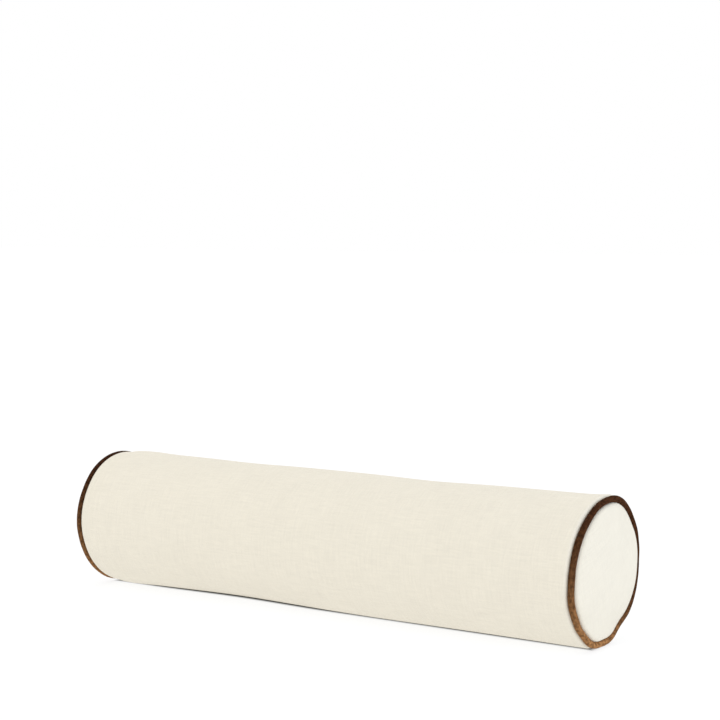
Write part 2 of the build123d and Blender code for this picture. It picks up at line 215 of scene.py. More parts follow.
def cloth(name, middle, thickness, flat, closed=False, pole=False, normal=None):
    """A closed mesh of cloth with that thickness, from a grid of points on its middle layer.

    flat holds each point's place on the cloth before it was sewn, with one column more when the grid is closed.
    With a pole, the first row is one point.
    """
    rows, columns = middle.shape[:2]
    facing = grid_normals(middle, closed)
    if normal is None:
        normal = facing
    points = np.concatenate([middle + normal * thickness / 2, middle - normal * thickness / 2])
    points = points.reshape(-1, 3)
    count = rows * columns
    corners = grid_faces(rows, columns, closed)
    number = corners[..., 0] * columns + corners[..., 1] % columns
    places = flat[corners[..., 0], corners[..., 1]]
    faces = np.concatenate([number, (number + count)[:, ::-1]])
    uv = np.concatenate([places, places[:, ::-1]])
    across, down = np.arange(columns - (not closed)), np.arange(rows - 1)
    borders = [((rows - 1, across + 1), (rows - 1, across))]
    if not pole:
        borders.append(((0, across), (0, across + 1)))
    if not closed:
        borders += [((down + 1, 0), (down, 0)), ((down, columns - 1), (down + 1, columns - 1))]
    for first, second in borders:
        a, b = (row * columns + column % columns for row, column in (first, second))
        here, there = flat[first], flat[second]
        faces = np.concatenate([faces, np.stack([a, b, b + count, a + count], -1)])
        uv = np.concatenate([uv, np.stack([here, there, there, here], 1)])
    if (normal * facing).sum() < 0:
        faces, uv = faces[:, ::-1], uv[:, ::-1]
    if not pole:
        return build(name, points, faces.tolist(), uv.reshape(-1, 2))
    return build(name, *merge_poles(points, faces, uv, (0, count), columns))


def merge_poles(points, faces, uv, firsts, columns):
    """Turns the rows that start at firsts, each of which lies at one point, into single vertices."""
    keep = np.ones(len(points), bool)
    target = np.arange(len(points))
    for first in firsts:
        keep[first + 1 : first + columns] = False
        target[first : first + columns] = first
    new = np.cumsum(keep) - 1
    faces = new[target[faces]]
    shaped, places = [], []
    for face, corners in zip(faces.tolist(), uv):
        kept = [i for i in range(4) if face[i] != face[i - 1]]
        shaped.append([face[i] for i in kept])
        places.extend(corners[kept])
    return points[keep], shaped, places


def tubes(name, paths, radius, sides, up=(0.31, 0.52, 0.8), ring=False):
    """Round tubes along paths of points, an array (tubes, points, 3), in one mesh. A ring's path is closed."""
    paths = np.asarray(paths, float)
    along = unit(np.roll(paths, -1, 1) - np.roll(paths, 1, 1) if ring else np.gradient(paths, axis=1))
    across = unit(np.cross(along, up))
    over = np.cross(across, along)
    turn = 2 * math.pi * np.arange(sides) / sides
    radius = np.broadcast_to(radius, paths.shape[:2])[..., None, None]
    wave = across[:, :, None] * np.cos(turn)[:, None] + over[:, :, None] * np.sin(turn)[:, None]
    points = paths[:, :, None] + radius * wave
    count, length = paths.shape[:2]
    row, side = np.meshgrid(np.arange(length - (not ring)), np.arange(sides), indexing="ij")
    row, side = row.ravel(), side.ravel()
    after = (row + 1) % length
    quad = np.stack([
        row * sides + side, after * sides + side, after * sides + (side + 1) % sides, row * sides + (side + 1) % sides
    ], -1)
    base = (np.arange(count) * length * sides)[:, None, None]
    faces = (quad[None] + base).reshape(-1, 4).tolist()
    if not ring:
        for first in (np.arange(count) * length * sides).tolist():
            faces.append([first + i for i in range(sides)])
            faces.append([first + (length - 1) * sides + i for i in reversed(range(sides))])
    return build(name, points.reshape(-1, 3), faces)


def refine(grid, axis, closed=False):
    """Doubles a grid's points along an axis, on a smooth curve through them."""
    grid = np.moveaxis(grid, axis, 0)
    if closed:
        before, after, beyond = np.roll(grid, 1, 0), np.roll(grid, -1, 0), np.roll(grid, -2, 0)
        mid = (9 * (grid + after) - before - beyond) / 16
        fine = np.stack([grid, mid], 1).reshape(-1, *grid.shape[1:])
    else:
        padded = np.concatenate([[2 * grid[0] - grid[1]], grid, [2 * grid[-1] - grid[-2]]])
        mid = (9 * (padded[1:-2] + padded[2:-1]) - padded[:-3] - padded[3:]) / 16
        fine = np.empty((2 * len(grid) - 1, *grid.shape[1:]))
        fine[::2], fine[1::2] = grid, mid
    return np.moveaxis(fine, 0, axis)


def waves(shape, cells, seed, closed_columns=False):
    """Smooth noise between about -1 and 1 over a grid, with that many cells along its rows and columns."""
    draw = np.random.default_rng(seed)
    coarse = draw.uniform(-1, 1, (cells[0] + 3, cells[1] + 3))
    if closed_columns:
        coarse[:, -3:] = coarse[:, :3]
    out = coarse
    for axis, count, cell in ((0, shape[0], cells[0]), (1, shape[1], cells[1])):
        where = np.linspace(0, cell, count, endpoint=not (axis == 1 and closed_columns))
        first = np.minimum(where.astype(int), cell - 1)
        part = where - first
        part = part.reshape([-1 if k == axis else 1 for k in range(2)])
        take = [np.take(out, first + k, axis=axis) for k in range(4)]
        out = (
            (1 - part) ** 3 * take[0]
            + (3 * part**3 - 6 * part**2 + 4) * take[1]
            + (-3 * part**3 + 3 * part**2 + 3 * part + 1) * take[2]
            + part**3 * take[3]
        ) / 6
    return 1.6 * out


LAST_FRAME = 22
CLOTH_SETTINGS = {
    "quality": 8, "mass": 0.1, "tension_stiffness": 40.0, "compression_stiffness": 40.0,
    "shear_stiffness": 40.0 / 3, "bending_stiffness": 2.0, "air_damping": 5, "vertex_group_mass": "held",
    "use_pressure": True,
}


def settle(points, faces, held, pressure, cap, slack=None):
    """Lets a cloth swell under pressure, with the held points fixed, and returns its points.

    No point moves further than cap. slack holds the points of the cloth before it was sewn in, where those differ.
    """
    mesh = bpy.data.meshes.new("settling")
    mesh.from_pydata(points.tolist(), [], faces)
    piece = link("settling", mesh)
    piece.vertex_groups.new(name="held").add([int(i) for i in held], 1.0, "REPLACE")
    modifier = piece.modifiers.new("Cloth", "CLOTH")
    if slack is not None:
        piece.shape_key_add(name="sewn")
        key = piece.shape_key_add(name="slack")
        key.data.foreach_set("co", slack.ravel())
        key.value = 0
        modifier.settings.rest_shape_key = key
    for name, value in CLOTH_SETTINGS.items():
        setattr(modifier.settings, name, value)
    modifier.settings.uniform_pressure_force = pressure
    modifier.settings.effector_weights.gravity = 0
    modifier.collision_settings.use_collision = False
    modifier.point_cache.frame_end = LAST_FRAME
    scene = bpy.context.scene
    for number in range(1, LAST_FRAME + 1):
        scene.frame_set(number)
    settled = vertices(piece.evaluated_get(bpy.context.evaluated_depsgraph_get()))
    bpy.data.objects.remove(piece)
    bpy.data.meshes.remove(mesh)
    scene.frame_set(1)
    moved = settled - points
    length = np.maximum(np.linalg.norm(moved, axis=-1, keepdims=True), 1e-12)
    return points + moved * np.tanh(length / cap) * cap / length


# The stuffed shape


# Where the stuffing is uneven: x, its half length, angle up from the back in degrees, its half width, and height
UNEVEN = (
    (0.457, 0.024, -59, 13, -0.0066),
    (0.457, 0.024, -128, 15, -0.0038),
    (0.457, 0.024, 72, 15, 0.0027),
    (0.457, 0.024, 27, 9, 0.0016),
    (0.457, 0.024, 0, 9, -0.0015),
    (0.457, 0.024, -165, 10, 0.0013),
    (-0.457, 0.024, 179, 16, 0.0013),
    (-0.457, 0.024, 145, 14, -0.0008),
    (-0.400, 0.035, 90, 400, 0.0017),
    (-0.190, 0.075, 90, 400, -0.0015),
    (0.160, 0.075, 90, 50, -0.0020),
    (0.100, 0.100, -112, 26, 0.0006),
    (0.457, 0.024, -150, 11, -0.0022),
    (0.457, 0.024, -28, 18, 0.0018),
    (0.457, 0.024, 54, 15, 0.0017),
    (0.457, 0.024, 125, 14, -0.0011),
    (0.120, 0.300, 90, 400, -0.0013),
    (-0.190, 0.130, -112, 26, -0.0062),
    (-0.440, 0.011, 90, 400, -0.0028),
)
# Where the right end bulges less: angle up from the back in degrees, its half width, and share of the bulge lost
SLACK = ((-62, 36, 0.72), (52, 24, 0.68))
LEAN_RIGHT = 0.0035  # how far the top of each end leans out
LEAN_LEFT = 0.0043


def bell(value):
    """1 at 0, and falling to nothing on both sides."""
    return np.exp(-(value**2))


def degrees_from(angle, centre):
    """An angle's signed distance in degrees from a centre."""
    return np.mod(np.degrees(angle) - centre + 180, 360) - 180


def smooth(value, low, high):
    """From 0 to 1, smoothly, as value goes from low to high."""
    share = np.clip((value - low) / (high - low), 0, 1)
    return share * share * (3 - 2 * share)


def swell(x, angle):
    """How far the cover stands out of its even cross-section, by place along the pillow and angle round it.

    It is nothing at the zip and where the pillow rests.
    """
    height = sum(
        rise * bell((x - centre) / length) * bell(degrees_from(angle, turn) / width)
        for centre, length, turn, width, rise in UNEVEN
    )
    at_zip = bell(degrees_from(angle, math.degrees(ZIP_ANGLE)) / 12) * (1 - smooth(np.abs(x), 0.395, 0.44))
    return height * (1 - at_zip) * (1 - bell(degrees_from(angle, -90) / 12))


def lie(points):
    """Moves points of the stuffed pillow to where its unevenness puts them."""
    x, y, z = points[..., 0], points[..., 1], points[..., 2] - AXIS_HEIGHT
    grown = 1 + swell(x, np.arctan2(z, y)) * np.clip(np.hypot(y, z) / RADIUS, 0, 1) / RADIUS
    lean = np.where(x > 0, LEAN_RIGHT, -LEAN_LEFT) * smooth(np.abs(x), 0.396, 0.450)
    out = np.hypot(y, z) / RADIUS
    slack = sum(share * bell(degrees_from(np.arctan2(z, y), turn) / width) for turn, width, share in SLACK)
    slack = slack * np.clip(out / 0.8, 0, 1) ** 3 * (1 - smooth(out, 0.885, 0.905))
    x = x - np.maximum(x - PIPING_X, 0) * slack
    return np.stack([x + lean * z / RADIUS, y * grown, np.maximum(z * grown + AXIS_HEIGHT, 0)], -1)


def edge_distance(x):
    """How far each folded edge of the cover lies from the zip's middle: wide along the zip, closed beyond it."""
    closing = np.clip((np.abs(x) - OPENING_HALF) / OPENING_END, -1, 1)
    return SEAM_GAP + (ZIP_GAP - SEAM_GAP) * (0.5 - 0.5 * closing)


SEAM_X = BODY_HIGH.x - LINEN / 2
FOLD = 0.00055  # radius of the hem's fold, on the middle of the cloth
SHOULDER = PIPING_INSET - LINEN / 2
ROWS_PAST_SHOULDER = np.cumsum([0.0025, 0.003, 0.0036, 0.0043, 0.005])
EASE = 0.006  # how much further out the body's cloth would lie, if it weren't sewn in
EASE_UNEVEN = 0.0006


def body_rows():
    """x and inset of each row of the cover's long panel, on its middle layer, from seam to seam."""
    bend = np.linspace(0, math.pi / 2, 6)
    halves = []
    for run in (SHOULDER_LEFT, SHOULDER_RIGHT):
        straight = SEAM_X - run
        graded = straight - ROWS_PAST_SHOULDER
        even = np.linspace(graded[-1], 0, 75)[1:]
        shoulder = straight + run * np.cos(bend), PIPING_INSET - SHOULDER * np.sin(bend)
        halves.append(joined(shoulder, (graded, LINEN / 2), (even, LINEN / 2)))
    (left, left_inset), (right, right_inset) = halves
    return joined((-left, left_inset), (right[-2::-1], right_inset[-2::-1]))


def cover_grid():
    """The long panel's middle layer between its seams and its folded edges, settled over the stuffing."""
    x, inset = body_rows()
    columns = 121
    share = np.linspace(0, 1, columns)
    edge = (edge_distance(x) + LINEN / 2 + FOLD)[:, None]
    distance = edge + (PERIMETER - 2 * edge) * share
    even = place(x[:, None], inset[:, None], distance)
    ease = EASE * (inset / PIPING_INSET)[:, None] ** 0.7 + EASE_UNEVEN * waves(even.shape[:2], (40, 30), 3)
    slack = place(x[:, None], inset[:, None] - ease, distance)
    rows = len(x)
    number = np.arange(rows * columns).reshape(rows, columns)
    corners = grid_faces(rows, columns, False)
    faces = number[corners[..., 0], corners[..., 1]].tolist()
    held = np.concatenate([number[0], number[-1], number[:, :2].ravel(), number[:, -2:].ravel()])
    settled = settle(even.reshape(-1, 3), faces, held, pressure=5.0, cap=0.003, slack=slack.reshape(-1, 3))
    settled = settled.reshape(rows, columns, 3)
    settled[..., 0] = np.clip(settled[..., 0], -SEAM_X, SEAM_X)
    settled[..., 2] = np.maximum(settled[..., 2], LINEN / 2)
    fine = refine(refine(settled, 0), 1)
    distance = refine(refine(distance[..., None], 0), 1)[..., 0]
    x, inset = refine(x, 0), refine(inset, 0)
    edge = edge_distance(x) + LINEN / 2 + FOLD
    fine[:, 0] = place(x, inset, edge)
    fine[:, -1] = place(x, inset, PERIMETER - edge)
    fine[..., 2] = np.maximum(fine[..., 2], LINEN / 2)
    return fine, distance


def turned_in(grid, distance):
    """Adds the seam allowances to both ends of the long panel, and gives each row's place along the cloth."""
    bend = np.linspace(0, math.pi / 2, 5)[1:]
    straight = np.linspace(SEAM_X - TURN_RADIUS, ALLOWANCE_EDGE, 6)[1:]
    bent = SEAM_X - TURN_RADIUS + TURN_RADIUS * np.cos(bend), PIPING_INSET + TURN_RADIUS * np.sin(bend)
    x, inset = joined(bent, (straight, PIPING_INSET + TURN_RADIUS))
    right = place(x[:, None], inset[:, None], distance[-1])
    left = right * np.array([-1, 1, 1])
    grid = np.concatenate([left[::-1], grid, right])
    distance = np.concatenate([distance[:1].repeat(len(x), 0), distance, distance[-1:].repeat(len(x), 0)])
    return grid, distance, travelled(grid[:, grid.shape[1] // 2])


def hemmed(grid, distance):
    """Adds the fold and the hem to both long edges of the panel."""
    normal = grid_normals(grid, False)
    normal *= np.sign(normal[len(grid) // 2, 0] @ outward_at(0.0))
    turn = np.linspace(0, math.pi, 7)[1:-1]
    inward = np.arange(HEM_COLUMNS + 1)
    hems = []
    for side, sign, order in ((0, 1, inward), (-1, -1, -1 - inward)):
        tangent = unit(grid[:, order[1]] - grid[:, order[0]])
        outward = normal[:, side]
        fold = [grid[:, side] - tangent * FOLD * np.sin(a) - outward * FOLD * (1 - np.cos(a)) for a in turn]
        bent = [outward * np.cos(a) - tangent * np.sin(a) for a in turn]
        layer = [grid[:, k] - normal[:, k] * 2 * FOLD for k in order]
        back = [-normal[:, k] for k in order]
        ahead = [distance[:, side] - sign * FOLD * a for a in turn]
        ahead += [2 * distance[:, side] - distance[:, k] - sign * FOLD * math.pi for k in order]
        hems.append([np.stack(items, 1) for items in (fold + layer, ahead, bent + back)])
    sides = zip(hems[0], (grid, distance, normal), hems[1])
    return [np.concatenate([first[:, ::-1], middle, last], 1) for first, middle, last in sides]


def make_cover_body():
    """The cover's long panel and the size it was cut to."""
    grid, distance = cover_grid()
    grid, distance, along = turned_in(grid, distance)
    grid, distance, normal = hemmed(grid, distance)
    piece = cloth("cover_body", grid, LINEN, laid_flat(distance, along), normal=normal)
    return piece, (2 * HEM_WIDTH + PERIMETER, along[-1])


# Ends

RIM_RADIUS = 0.008
RIM = RADIUS - END_INSET - RIM_RADIUS
TOP_RADIUS = (RIM**2 + END_REACH**2 - RIM_RADIUS**2) / (2 * (END_REACH - RIM_RADIUS))
TOP_CENTRE = PIPING_X + END_REACH - TOP_RADIUS
LEAN = math.atan2(RIM, TOP_RADIUS - END_REACH)


def crown(depth, count):
    """x and share of the radius along the end's bulge, from its middle to its rim, that far inside its skin."""
    top, rim = (TOP_RADIUS - depth) * LEAN, (RIM_RADIUS - depth) * (math.pi / 2 - LEAN)
    along = np.linspace(0, top + rim, count)
    angle = np.where(along < top, along / (TOP_RADIUS - depth), LEAN + (along - top) / (RIM_RADIUS - depth))
    on_top = along < top
    centre_x = np.where(on_top, TOP_CENTRE, PIPING_X)
    centre_r = np.where(on_top, 0, RIM)
    radius = np.where(on_top, TOP_RADIUS, RIM_RADIUS) - depth
    return centre_x + radius * np.cos(angle), (centre_r + radius * np.sin(angle)) / (RIM + RIM_RADIUS - depth), along


def towards_axis(points, share):
    """Draws points in towards the pillow's axis, to a share of their distance from it."""
    axis = np.array([0, 0, AXIS_HEIGHT])
    centre = points * np.array([1, 0, 0]) + axis
    return centre + (points - centre) * np.asarray(share)[..., None]


def dome_grid(depth, columns, rings, pressure, cap):
    """The middle layer of an end's cloth, as rows from its middle to its rim, settled over the stuffing."""
    x, share, along = crown(depth, rings + 1)
    points, first = [], [0]
    for ring in range(rings + 1):
        number = max(6 * ring, 1)
        rim = place(x[ring], END_INSET + depth, around(number))
        points.append(towards_axis(rim, np.full(number, share[ring])))
        first.append(first[-1] + number)
    faces = []
    for ring in range(1, rings + 1):
        inner, outer = max(6 * (ring - 1), 1), 6 * ring
        for sector in range(6):
            for step in range(ring):
                a = first[ring] + sector * ring + step
                b = first[ring] + (sector * ring + step + 1) % outer
                c = first[ring - 1] + (sector * (ring - 1) + step) % inner
                faces.append([a, b, c])
                if step < ring - 1:
                    faces.append([b, first[ring - 1] + (sector * (ring - 1) + step + 1) % inner, c])
    flat = np.concatenate(points)
    held = np.arange(first[rings], first[rings + 1])
    settled = settle(flat, faces, held, pressure, cap)
    rows = []
    for ring in range(rings + 1):
        row = settled[first[ring] : first[ring + 1]]
        if ring > 1:
            row = refine(refine(row, 0, True), 0, True)
        where = np.arange(columns) / columns * len(row)
        closed = np.concatenate([row, row[:1]])
        rows.append(np.stack([np.interp(where, np.arange(len(closed)), closed[:, k]) for k in range(3)], -1))
    return refine(np.stack(rows), 0), refine(along, 0)


def disc_uv(along, columns):
    """Flat places on a disc of cloth, from each row's distance from the middle."""
    angle = 2 * math.pi * np.arange(columns + 1) / columns
    return along[:, None, None] * np.stack([np.cos(angle), np.sin(angle)], -1)


def make_end(name, depth, thickness, skirt, pressure, cap):
    """A disc of cloth over an end of the pillow, with its edge turned in to skirt. Returns it and its cut radius."""
    columns = 240
    grid, along = dome_grid(depth, columns, 20, pressure, cap)
    back = np.linspace(PIPING_X, skirt, 9)[1:]
    edge = place(back[:, None], END_INSET + depth, around(columns))
    grid = np.concatenate([grid, edge])
    along = np.concatenate([along, along[-1] + PIPING_X - back])
    return cloth(name, grid, thickness, disc_uv(along, columns), closed=True, pole=True), along[-1]


def mirrored(piece, name):
    """A copy of a piece at the left end."""
    copy = link(name, piece.data.copy())
    copy.data.name = name
    copy.data.vertices.foreach_set("co", (vertices(copy) * [-1, 1, 1]).ravel())
    copy.data.flip_normals()
    return copy


# Piping


EDGE_NEAR = 0.0034  # of the strip's two edges, how far below the cord's centre
EDGE_FAR = 0.0041
RIPPLES = ((0.00016, (5, 90)), (0.00022, (3, 26)))  # height, and cells across and round
JOINT_WIDTH = 0.0009
JOINT_SLANT = 0.0022
JOINT_DEPTH = 0.0006
JOINT_RIDGE = 0.00035


def sleeve_profile(count):
    """x and inset across the piping's strip, on its middle layer: in along the seam, round the cord and back."""
    radius = PIPING_RADIUS - VELVET / 2
    start = math.pi + math.asin(EDGE_NEAR / radius)
    end = -math.pi + math.asin(EDGE_FAR / radius)
    turn = np.linspace(start, end, count)
    x = PIPING_X + radius * np.cos(turn)
    inset = PIPING_INSET - radius * np.sin(turn)
    inner = np.linspace(ALLOWANCE_EDGE, x[0] - 0.0008, 5)
    outer = np.linspace(x[-1] - 0.0012, ALLOWANCE_EDGE, 6)
    return joined((inner, PIPING_INSET + EDGE_NEAR, start), (x, inset, turn), (outer, PIPING_INSET + EDGE_FAR, end))


def make_sleeve(name, seed, joint_at):
    """The velvet strip round the cord, with the small ripples of a bias strip and the joint where its ends meet."""
    columns = 720
    x, inset, turn = sleeve_profile(40)
    distance = around(columns)
    grid = place(x[:, None], inset[:, None], distance)
    outward = unit(grid - place(PIPING_X, PIPING_INSET, distance))
    round_cord = (np.abs(turn - turn[0]) > 1e-9) & (np.abs(turn - turn[-1]) > 1e-9)
    shape = grid.shape[:2]
    ripple = sum(high * waves(shape, cells, seed + k, True) for k, (high, cells) in enumerate(RIPPLES))
    slanted = (distance[None] - joint_at + JOINT_SLANT * (turn[:, None] - math.pi / 2)) / JOINT_WIDTH
    joint = JOINT_RIDGE * bell((slanted - 2.6) / 1.8) - JOINT_DEPTH * bell(slanted)
    grid = grid + outward * ((ripple + joint) * round_cord[:, None])[..., None]
    across = travelled(np.stack([x, inset], -1))
    flat = laid_flat(around(columns, 1), across)[..., ::-1]
    return cloth(name, grid, VELVET, flat, closed=True), across[-1]


def make_cord(name, sign):
    """The twisted cord inside the piping: three strands."""
    count, twists = 1500, 27
    strand = 0.0019
    share = np.arange(count) / count
    distance = PERIMETER * share
    paths = []
    for number in range(3):
        angle = 2 * math.pi * (twists * share + number / 3)
        x = PIPING_X + (CORD_RADIUS - strand) * np.cos(angle)
        paths.append(place(x, PIPING_INSET - (CORD_RADIUS - strand) * np.sin(angle), distance))
    return tubes(name, lie(np.stack(paths) * [sign, 1, 1]), strand, sides=10, ring=True)


# Stitches and zip


THREAD = 0.00026  # radius of the sewing thread
STITCH_GAP = 0.0008
SEAM_STITCH = 0.0030
SEAM_GAP_BETWEEN = 0.0007
SEAM_LIFT = 0.00015
TOPSTITCH = 0.0026
HAND_STITCH = 0.007


def stitches(name, points, outward, length, lift=0.0001, gap=STITCH_GAP, loop=False):
    """A row of separate stitches along a line of points, each of them a short thread that dips in at both ends."""
    if loop:
        points, outward = (np.concatenate([array, array[:1]]) for array in (points, outward))
    along = travelled(points)
    count = max(int(round(along[-1] / (length + gap))), 1)
    pitch = along[-1] / count
    share = np.linspace(0, 1, 7)
    where = (np.arange(count)[:, None] + 0.5) * pitch + (share - 0.5) * (pitch - gap)
    line = np.stack([np.interp(where, along, points[:, k]) for k in range(3)], -1)
    up = np.stack([np.interp(where, along, outward[:, k]) for k in range(3)], -1)
    rise = lift * np.sin(math.pi * share) ** 0.6 - THREAD * (1 - np.sin(math.pi * share) ** 0.3)
    return tubes(name, line + up * rise[:, None], THREAD, sides=6)


def ring_stitches(name, x, inset, sign):
    """A row of stitches all round the pillow at that x and depth."""
    distance = np.linspace(0, PERIMETER, 900, endpoint=False)
    points = lie(place(x * sign, inset, distance))
    return stitches(name, points, -outward_at(distance), SEAM_STITCH, SEAM_LIFT, SEAM_GAP_BETWEEN, loop=True)


ZIP_OUT = np.array([0, math.cos(ZIP_ANGLE), math.sin(ZIP_ANGLE)])
ZIP_UP = np.array([0, -math.sin(ZIP_ANGLE), math.cos(ZIP_ANGLE)])
ZIP_TOP = np.array([0, 0, AXIS_HEIGHT]) + RADIUS * ZIP_OUT
COIL_LOW_DEPTH = 0.0021
COIL_TOP_DEPTH = 0.0006
COIL_NEAR = 0.00045  # from the zip's middle, which leaves room for the slider's post
COIL_FAR = 0.00275
COIL_PITCH = 0.00125
WIRE = 0.00031


def in_zip(x, up, out):
    """Points in the zip's flat frame: along, up from its middle, and out from the cover's outside."""
    x, up, out = np.broadcast_arrays(x, up, out)
    return ZIP_TOP + x[..., None] * [1, 0, 0] + up[..., None] * ZIP_UP + out[..., None] * ZIP_OUT


def make_coil(name, side):
    """One row of coil: a single wire wound flat, with its heads at the middle of the zip."""
    turns, per_turn = int(2 * ZIP_HALF / COIL_PITCH), 12
    share = np.arange(turns * per_turn) / per_turn
    angle = 2 * math.pi * share
    half_width = (COIL_FAR - COIL_NEAR) / 2 - WIRE
    half_height = (COIL_LOW_DEPTH - COIL_TOP_DEPTH) / 2 - WIRE
    x = -ZIP_HALF + COIL_PITCH * (share + 0.5 + 0.25 * side)
    up = (COIL_NEAR + COIL_FAR) / 2 + half_width * np.cos(angle)
    out = -(COIL_LOW_DEPTH + COIL_TOP_DEPTH) / 2 + half_height * np.sin(angle)
    path = in_zip(np.clip(x, -ZIP_HALF + WIRE, ZIP_HALF - WIRE), side * up, out)
    return tubes(name, path[None], WIRE, sides=6, up=(1.0, 0, 0))


def make_tape(name, side):
    """One woven tape: a strip with faint ribs across it."""
    across = np.array([0.00045, 0.0008, 0.0012, 0.0016, 0.0030, 0.0034, 0.0038, 0.005, 0.0075, 0.010, 0.013, 0.0160])
    x = np.linspace(-TAPE_HALF, TAPE_HALF, 260)
    rib = 0.00003 * np.cos(np.arange(len(x)) * math.pi)[:, None]
    depth = TAPE_DEPTH + TAPE / 2 + rib
    distance = side * across * RADIUS / (RADIUS - TAPE_DEPTH)
    grid = place(x[:, None], depth, distance)
    return cloth(name, grid, TAPE * 0.9, laid_flat(across, x), normal=outward_at(distance + 0 * depth))


def make_topstitch():
    """The stitches that sew the cover to the tapes, in one row round the zip."""
    half, side = STITCHED_HALF - 0.0003, TOPSTITCH_OFFSET - 0.0003
    along, across = np.linspace(-half, half, 800), np.linspace(-side, side, 40)
    x, distance = joined((along, -side), (half, across), (along[::-1], side), (-half, across[::-1]))
    return stitches("zip_stitching", place(x, 0.00005, distance), outward_at(distance), TOPSTITCH, loop=True)


def line_stitches(name, node, up, out, length=SEAM_STITCH):
    """A straight row of stitches in the zip's frame, as long as a node."""
    low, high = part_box(node)
    points = in_zip(np.linspace(low.x, high.x, 60), up, out)
    return stitches(name, points, np.broadcast_to(ZIP_OUT, points.shape), length)


# Insert

INSERT_INSET = 0.0019
NECK_X = ALLOWANCE_EDGE - 0.0005
NECK_DEPTH = LINEN + 0.0012
NECK_INSET = END_INSET + NECK_DEPTH
NECK_RUN = 0.018
NECK_DROP = 0.0114


def press_zip(points, depth):
    """Flattens points where the zip presses into the insert."""
    height = (points - [0, 0, AXIS_HEIGHT]) @ ZIP_OUT
    return points - np.maximum(height - RADIUS + depth, 0)[..., None] * ZIP_OUT


def insert_rows(inset, depth, middle_rows):
    """x and inset of the insert's long part from end to end."""
    bend = np.linspace(0, math.pi / 2, 10)
    end = NECK_X - depth
    neck = end - NECK_RUN + NECK_RUN * np.cos(bend), inset + NECK_DROP * (1 - np.sin(bend))
    x, depths = joined(neck, (np.linspace(end - NECK_RUN, 0, middle_rows)[1:], inset))
    return joined((-x, depths), (x[-2::-1], depths[-2::-1]))


def make_insert_body():
    """The ticking tube round the wadding."""
    x, inset = insert_rows(INSERT_INSET, 0, 60)
    columns = 200
    uneven = 0.0004 * np.minimum(waves((len(x), columns), (30, 22), 21, True), 0.4)
    grid = press_zip(place(x[:, None], inset[:, None] - uneven + 0.0002, around(columns)), ZIP_FLAT + PLAY)
    along = travelled(grid[:, 60])
    flat = laid_flat(around(columns, 1), along)
    return cloth("insert_case_tube", grid, TICKING, flat, closed=True), along[-1]


def revolved(name, parts, columns, rough, seed, hoop=False, zip_depth=None):
    """A closed solid round the pillow's axis, with a rough surface.

    Its line is given in parts of (x, inset, share of the radius). It starts and ends on the axis, or, for a hoop,
    joins up with itself.
    """
    x, inset, share = joined(*parts)
    grid = towards_axis(place(x[:, None], inset[:, None], around(columns)), share[:, None] * np.ones(columns))
    if zip_depth:
        grid = press_zip(grid, zip_depth)
    wrapped = np.concatenate([grid, grid[:1]]) if hoop else grid
    normal = grid_normals(wrapped, True)[: len(x)]
    noise = sum(waves((len(x), columns), (max(len(x) // k, 2), columns // k), seed + k, True) / 3 for k in (2, 4, 8))
    grid = grid + normal * (rough * (noise - 1) * np.minimum(8 * share, 1)[:, None])[..., None]
    rows = len(x)
    corners = grid_faces(rows + hoop, columns, True)
    number = (corners[..., 0] % rows) * columns + corners[..., 1] % columns
    along = travelled(wrapped[:, 0])
    uv = np.stack([corners[..., 1] * PERIMETER / columns, along[np.minimum(corners[..., 0], len(along) - 1)]], -1)
    points = grid.reshape(-1, 3)
    if hoop:
        return build(name, points, number.tolist(), uv.reshape(-1, 2))
    return build(name, *merge_poles(points, number, uv, (0, (rows - 1) * columns), columns))


def make_wadding_wrap():
    """The sheet of wadding round the core."""
    x, inset = insert_rows(0.0029, 0.0012, 90)
    neck_x = np.array([CORE_END - 0.004, CORE_END])
    neck = NECK_INSET + 0.0013
    inner = np.linspace(CORE_END, -CORE_END, 60), CORE_INSET - PLAY, 1.0
    parts = (-neck_x[::-1], neck, 1.0), (x, inset, 1.0), (neck_x, neck, 1.0), inner
    depth = ZIP_FLAT + 0.0014
    return revolved("wadding_sheet", parts, columns=200, rough=0.0004, seed=40, hoop=True, zip_depth=depth)


def make_wadding_end():
    """The pad of wadding over the right end of the core."""
    depth = NECK_DEPTH + TICKING + PLAY
    x, share, _ = crown(depth, 40)
    base = CORE_END + PLAY
    side = np.linspace(x[-1], base, 5)[1:]
    flat = np.linspace(1, 0, 20)[1:]
    inset = END_INSET + depth
    parts = (x, inset, share), (side, inset, 1.0), (base, inset, flat)
    return revolved("wadding_pad_right", parts, columns=160, rough=0.0003, seed=50)


def make_foam():
    """The bar of foam, with slightly softened edges."""
    end = CORE_END - 0.0003
    flat = np.linspace(0, 1, 24)[:-1]
    soft = 0.0015
    side = np.linspace(-end + soft, end - soft, 150)
    inset = CORE_INSET + 0.0006
    parts = (-end, inset, flat), (side, inset, 1.0), (end, inset, flat[::-1])
    return revolved("foam_bar", parts, columns=180, rough=0.0004, seed=60)


def make_label():
    """The blank woven label, standing up from the left end's seam."""
    low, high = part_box("care_label")
    depth = NECK_DEPTH - 0.0006
    y, z = np.linspace(low.y, high.y, 15), np.linspace(low.z, high.z, 23)
    x, share, _ = crown(depth, 400)
    reach = share * (RIM + RIM_RADIUS - depth)
    away = np.hypot(y[None], z[:, None] - AXIS_HEIGHT)
    curl = 0.00012 * waves(away.shape, (4, 3), 71)
    grid = np.stack(np.broadcast_arrays(-np.interp(away, reach, x) + curl, y[None], z[:, None]), -1)
    return cloth("blank_label", grid, 0.00028, laid_flat(y, z)), (high.y - low.y, high.z - low.z)


# Materials


def srgb(*levels):
    """A linear colour from the usual 0 to 255 levels."""
    return tuple(((level / 255 + 0.055) / 1.055) ** 2.4 for level in levels) + (1.0,)


